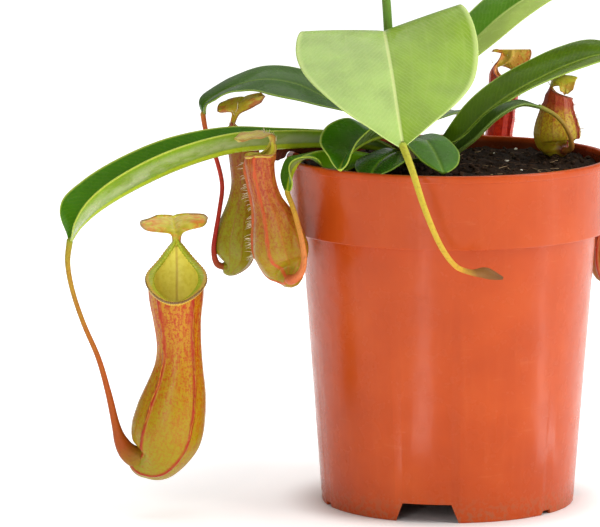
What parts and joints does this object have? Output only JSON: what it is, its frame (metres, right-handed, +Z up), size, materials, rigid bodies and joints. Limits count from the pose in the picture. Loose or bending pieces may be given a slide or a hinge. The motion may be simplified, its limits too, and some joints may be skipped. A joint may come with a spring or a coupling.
{
  "type": "potted pitcher plant",
  "caption": "Tropical pitcher plant with arching strap leaves and hanging lidded pitchers, in a terracotta-coloured plastic grower's pot.",
  "frame": {"origin": "centre of the plant's outline at the level of the pot's foot", "axes": "+Z up the pot's axis, +X to the right of the picture's view and the object's longest extent, +Y away from the viewer"},
  "size_m": [0.2288, 0.1604, 0.2183],
  "materials": {
    "pot_plastic": "glossy injection moulded",
    "peat": "rough, loose",
    "stem_green": "satin",
    "leaf_a_green": "satin leaf",
    "leaf_b_green": "satin leaf",
    "leaf_c_green": "satin leaf",
    "leaf_d_green": "satin leaf",
    "leaf_e_green": "satin leaf",
    "leaf_f_green": "satin leaf",
    "leaf_g_green": "satin leaf",
    "leaf_h_green": "satin leaf",
    "leaf_i_green": "satin leaf",
    "leaf_j_green": "satin leaf",
    "leaf_k_green": "satin leaf",
    "leaf_l_dry": "dull, dry leaf",
    "pitcher_a_skin": "satin, speckled",
    "pitcher_b_skin": "satin, speckled",
    "pitcher_c_skin": "satin, speckled",
    "pitcher_f_skin": "satin, speckled",
    "pitcher_g_skin": "satin, speckled",
    "pitcher_k_skin": "satin, speckled",
    "tendril_d_skin": "satin",
    "tendril_e_skin": "satin"
  },
  "bodies": {
    "root": {"pot": "pot_plastic", "soil": "peat", "stem": "stem_green", "leaf_a": "leaf_a_green", "leaf_b": "leaf_b_green", "leaf_c": "leaf_c_green", "leaf_d": "leaf_d_green", "leaf_e": "leaf_e_green", "leaf_f": "leaf_f_green", "leaf_g": "leaf_g_green", "leaf_h": "leaf_h_green", "leaf_i": "leaf_i_green", "leaf_j": "leaf_j_green", "leaf_k": "leaf_k_green", "leaf_l": "leaf_l_dry", "pitcher_a": "pitcher_a_skin", "pitcher_b": "pitcher_b_skin", "pitcher_c": "pitcher_c_skin", "pitcher_f": "pitcher_f_skin", "pitcher_g": "pitcher_g_skin", "pitcher_k": "pitcher_k_skin", "tendril_d": "tendril_d_skin", "tendril_e": "tendril_e_skin"}
  },
  "joints": []
}
